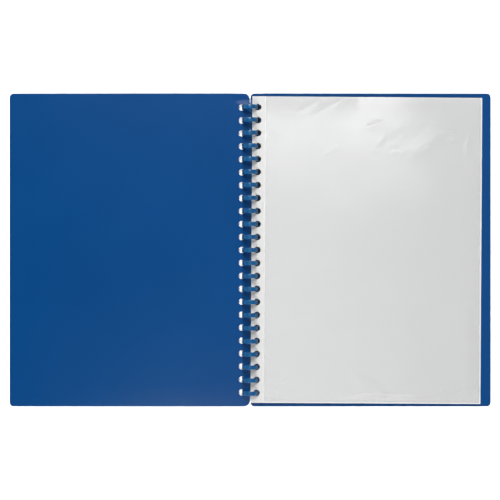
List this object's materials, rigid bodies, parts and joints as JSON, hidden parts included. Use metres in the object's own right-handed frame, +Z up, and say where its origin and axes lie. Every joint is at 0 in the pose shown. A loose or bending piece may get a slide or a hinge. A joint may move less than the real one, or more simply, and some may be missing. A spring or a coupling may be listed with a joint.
{
  "type": "clear pocket display book",
  "caption": "A4 display book lying open: stiff blue plastic covers and clear top-opening pockets, all punched along one edge and threaded on a plastic comb so that each turns flat.",
  "frame": {"origin": "on the table, under the middle of the comb: centre of the bottom of the bounding box", "axes": "X across the open book towards the pockets, Y along the comb towards the top edge of the pockets, Z up from the table"},
  "size_m": [0.4724, 0.307, 0.0121],
  "materials": {
    "cover_plastic": "blue polypropylene sheet, fine satin grain",
    "comb_plastic": "moulded blue plastic, smooth and slightly glossy",
    "pocket_film": "clear polypropylene film, glossy with faint creases",
    "strip_plastic": "white punched reinforcing strip, satin"
  },
  "bodies": {
    "comb": {"binding_comb": "comb_plastic"},
    "front_cover": {"front_cover": "cover_plastic"},
    "back_cover": {"back_cover": "cover_plastic"},
    "pocket_01": {"pocket_01_sleeve": "pocket_film", "pocket_01_binding_strip": "strip_plastic"},
    "pocket_02": {"pocket_02_sleeve": "pocket_film", "pocket_02_binding_strip": "strip_plastic"},
    "pocket_03": {"pocket_03_sleeve": "pocket_film", "pocket_03_binding_strip": "strip_plastic"},
    "pocket_04": {"pocket_04_sleeve": "pocket_film", "pocket_04_binding_strip": "strip_plastic"},
    "pocket_05": {"pocket_05_sleeve": "pocket_film", "pocket_05_binding_strip": "strip_plastic"},
    "pocket_06": {"pocket_06_sleeve": "pocket_film", "pocket_06_binding_strip": "strip_plastic"},
    "pocket_07": {"pocket_07_sleeve": "pocket_film", "pocket_07_binding_strip": "strip_plastic"},
    "pocket_08": {"pocket_08_sleeve": "pocket_film", "pocket_08_binding_strip": "strip_plastic"},
    "pocket_09": {"pocket_09_sleeve": "pocket_film", "pocket_09_binding_strip": "strip_plastic"},
    "pocket_10": {"pocket_10_sleeve": "pocket_film", "pocket_10_binding_strip": "strip_plastic"},
    "pocket_11": {"pocket_11_sleeve": "pocket_film", "pocket_11_binding_strip": "strip_plastic"},
    "pocket_12": {"pocket_12_sleeve": "pocket_film", "pocket_12_binding_strip": "strip_plastic"},
    "pocket_13": {"pocket_13_sleeve": "pocket_film", "pocket_13_binding_strip": "strip_plastic"},
    "pocket_14": {"pocket_14_sleeve": "pocket_film", "pocket_14_binding_strip": "strip_plastic"},
    "pocket_15": {"pocket_15_sleeve": "pocket_film", "pocket_15_binding_strip": "strip_plastic"},
    "pocket_16": {"pocket_16_sleeve": "pocket_film", "pocket_16_binding_strip": "strip_plastic"},
    "pocket_17": {"pocket_17_sleeve": "pocket_film", "pocket_17_binding_strip": "strip_plastic"},
    "pocket_18": {"pocket_18_sleeve": "pocket_film", "pocket_18_binding_strip": "strip_plastic"},
    "pocket_19": {"pocket_19_sleeve": "pocket_film", "pocket_19_binding_strip": "strip_plastic"},
    "pocket_20": {"pocket_20_sleeve": "pocket_film", "pocket_20_binding_strip": "strip_plastic"}
  },
  "joints": [
    {"name": "front_cover_hinge", "type": "hinge", "parent": "comb", "child": "front_cover", "pos_m": [0, 0, 0.00405], "axis": [0, 1, 0], "range_deg": [0, 180]},
    {"name": "back_cover_hinge", "type": "hinge", "parent": "comb", "child": "back_cover", "pos_m": [0, 0, 0.00405], "axis": [0, -1, 0], "range_deg": [0, 180]},
    {"name": "pocket_20_hinge", "type": "hinge", "parent": "back_cover", "child": "pocket_20", "pos_m": [0, 0, 0.00405], "axis": [0, -1, 0], "range_deg": [0, 180]},
    {"name": "pocket_19_hinge", "type": "hinge", "parent": "pocket_20", "child": "pocket_19", "pos_m": [0, 0, 0.00405], "axis": [0, -1, 0], "range_deg": [0, 180]},
    {"name": "pocket_18_hinge", "type": "hinge", "parent": "pocket_19", "child": "pocket_18", "pos_m": [0, 0, 0.00405], "axis": [0, -1, 0], "range_deg": [0, 180]},
    {"name": "pocket_17_hinge", "type": "hinge", "parent": "pocket_18", "child": "pocket_17", "pos_m": [0, 0, 0.00405], "axis": [0, -1, 0], "range_deg": [0, 180]},
    {"name": "pocket_16_hinge", "type": "hinge", "parent": "pocket_17", "child": "pocket_16", "pos_m": [0, 0, 0.00405], "axis": [0, -1, 0], "range_deg": [0, 180]},
    {"name": "pocket_15_hinge", "type": "hinge", "parent": "pocket_16", "child": "pocket_15", "pos_m": [0, 0, 0.00405], "axis": [0, -1, 0], "range_deg": [0, 180]},
    {"name": "pocket_14_hinge", "type": "hinge", "parent": "pocket_15", "child": "pocket_14", "pos_m": [0, 0, 0.00405], "axis": [0, -1, 0], "range_deg": [0, 180]},
    {"name": "pocket_13_hinge", "type": "hinge", "parent": "pocket_14", "child": "pocket_13", "pos_m": [0, 0, 0.00405], "axis": [0, -1, 0], "range_deg": [0, 180]},
    {"name": "pocket_12_hinge", "type": "hinge", "parent": "pocket_13", "child": "pocket_12", "pos_m": [0, 0, 0.00405], "axis": [0, -1, 0], "range_deg": [0, 180]},
    {"name": "pocket_11_hinge", "type": "hinge", "parent": "pocket_12", "child": "pocket_11", "pos_m": [0, 0, 0.00405], "axis": [0, -1, 0], "range_deg": [0, 180]},
    {"name": "pocket_10_hinge", "type": "hinge", "parent": "pocket_11", "child": "pocket_10", "pos_m": [0, 0, 0.00405], "axis": [0, -1, 0], "range_deg": [0, 180]},
    {"name": "pocket_09_hinge", "type": "hinge", "parent": "pocket_10", "child": "pocket_09", "pos_m": [0, 0, 0.00405], "axis": [0, -1, 0], "range_deg": [0, 180]},
    {"name": "pocket_08_hinge", "type": "hinge", "parent": "pocket_09", "child": "pocket_08", "pos_m": [0, 0, 0.00405], "axis": [0, -1, 0], "range_deg": [0, 180]},
    {"name": "pocket_07_hinge", "type": "hinge", "parent": "pocket_08", "child": "pocket_07", "pos_m": [0, 0, 0.00405], "axis": [0, -1, 0], "range_deg": [0, 180]},
    {"name": "pocket_06_hinge", "type": "hinge", "parent": "pocket_07", "child": "pocket_06", "pos_m": [0, 0, 0.00405], "axis": [0, -1, 0], "range_deg": [0, 180]},
    {"name": "pocket_05_hinge", "type": "hinge", "parent": "pocket_06", "child": "pocket_05", "pos_m": [0, 0, 0.00405], "axis": [0, -1, 0], "range_deg": [0, 180]},
    {"name": "pocket_04_hinge", "type": "hinge", "parent": "pocket_05", "child": "pocket_04", "pos_m": [0, 0, 0.00405], "axis": [0, -1, 0], "range_deg": [0, 180]},
    {"name": "pocket_03_hinge", "type": "hinge", "parent": "pocket_04", "child": "pocket_03", "pos_m": [0, 0, 0.00405], "axis": [0, -1, 0], "range_deg": [0, 180]},
    {"name": "pocket_02_hinge", "type": "hinge", "parent": "pocket_03", "child": "pocket_02", "pos_m": [0, 0, 0.00405], "axis": [0, -1, 0], "range_deg": [0, 180]},
    {"name": "pocket_01_hinge", "type": "hinge", "parent": "pocket_02", "child": "pocket_01", "pos_m": [0, 0, 0.00405], "axis": [0, -1, 0], "range_deg": [0, 180]}
  ]
}
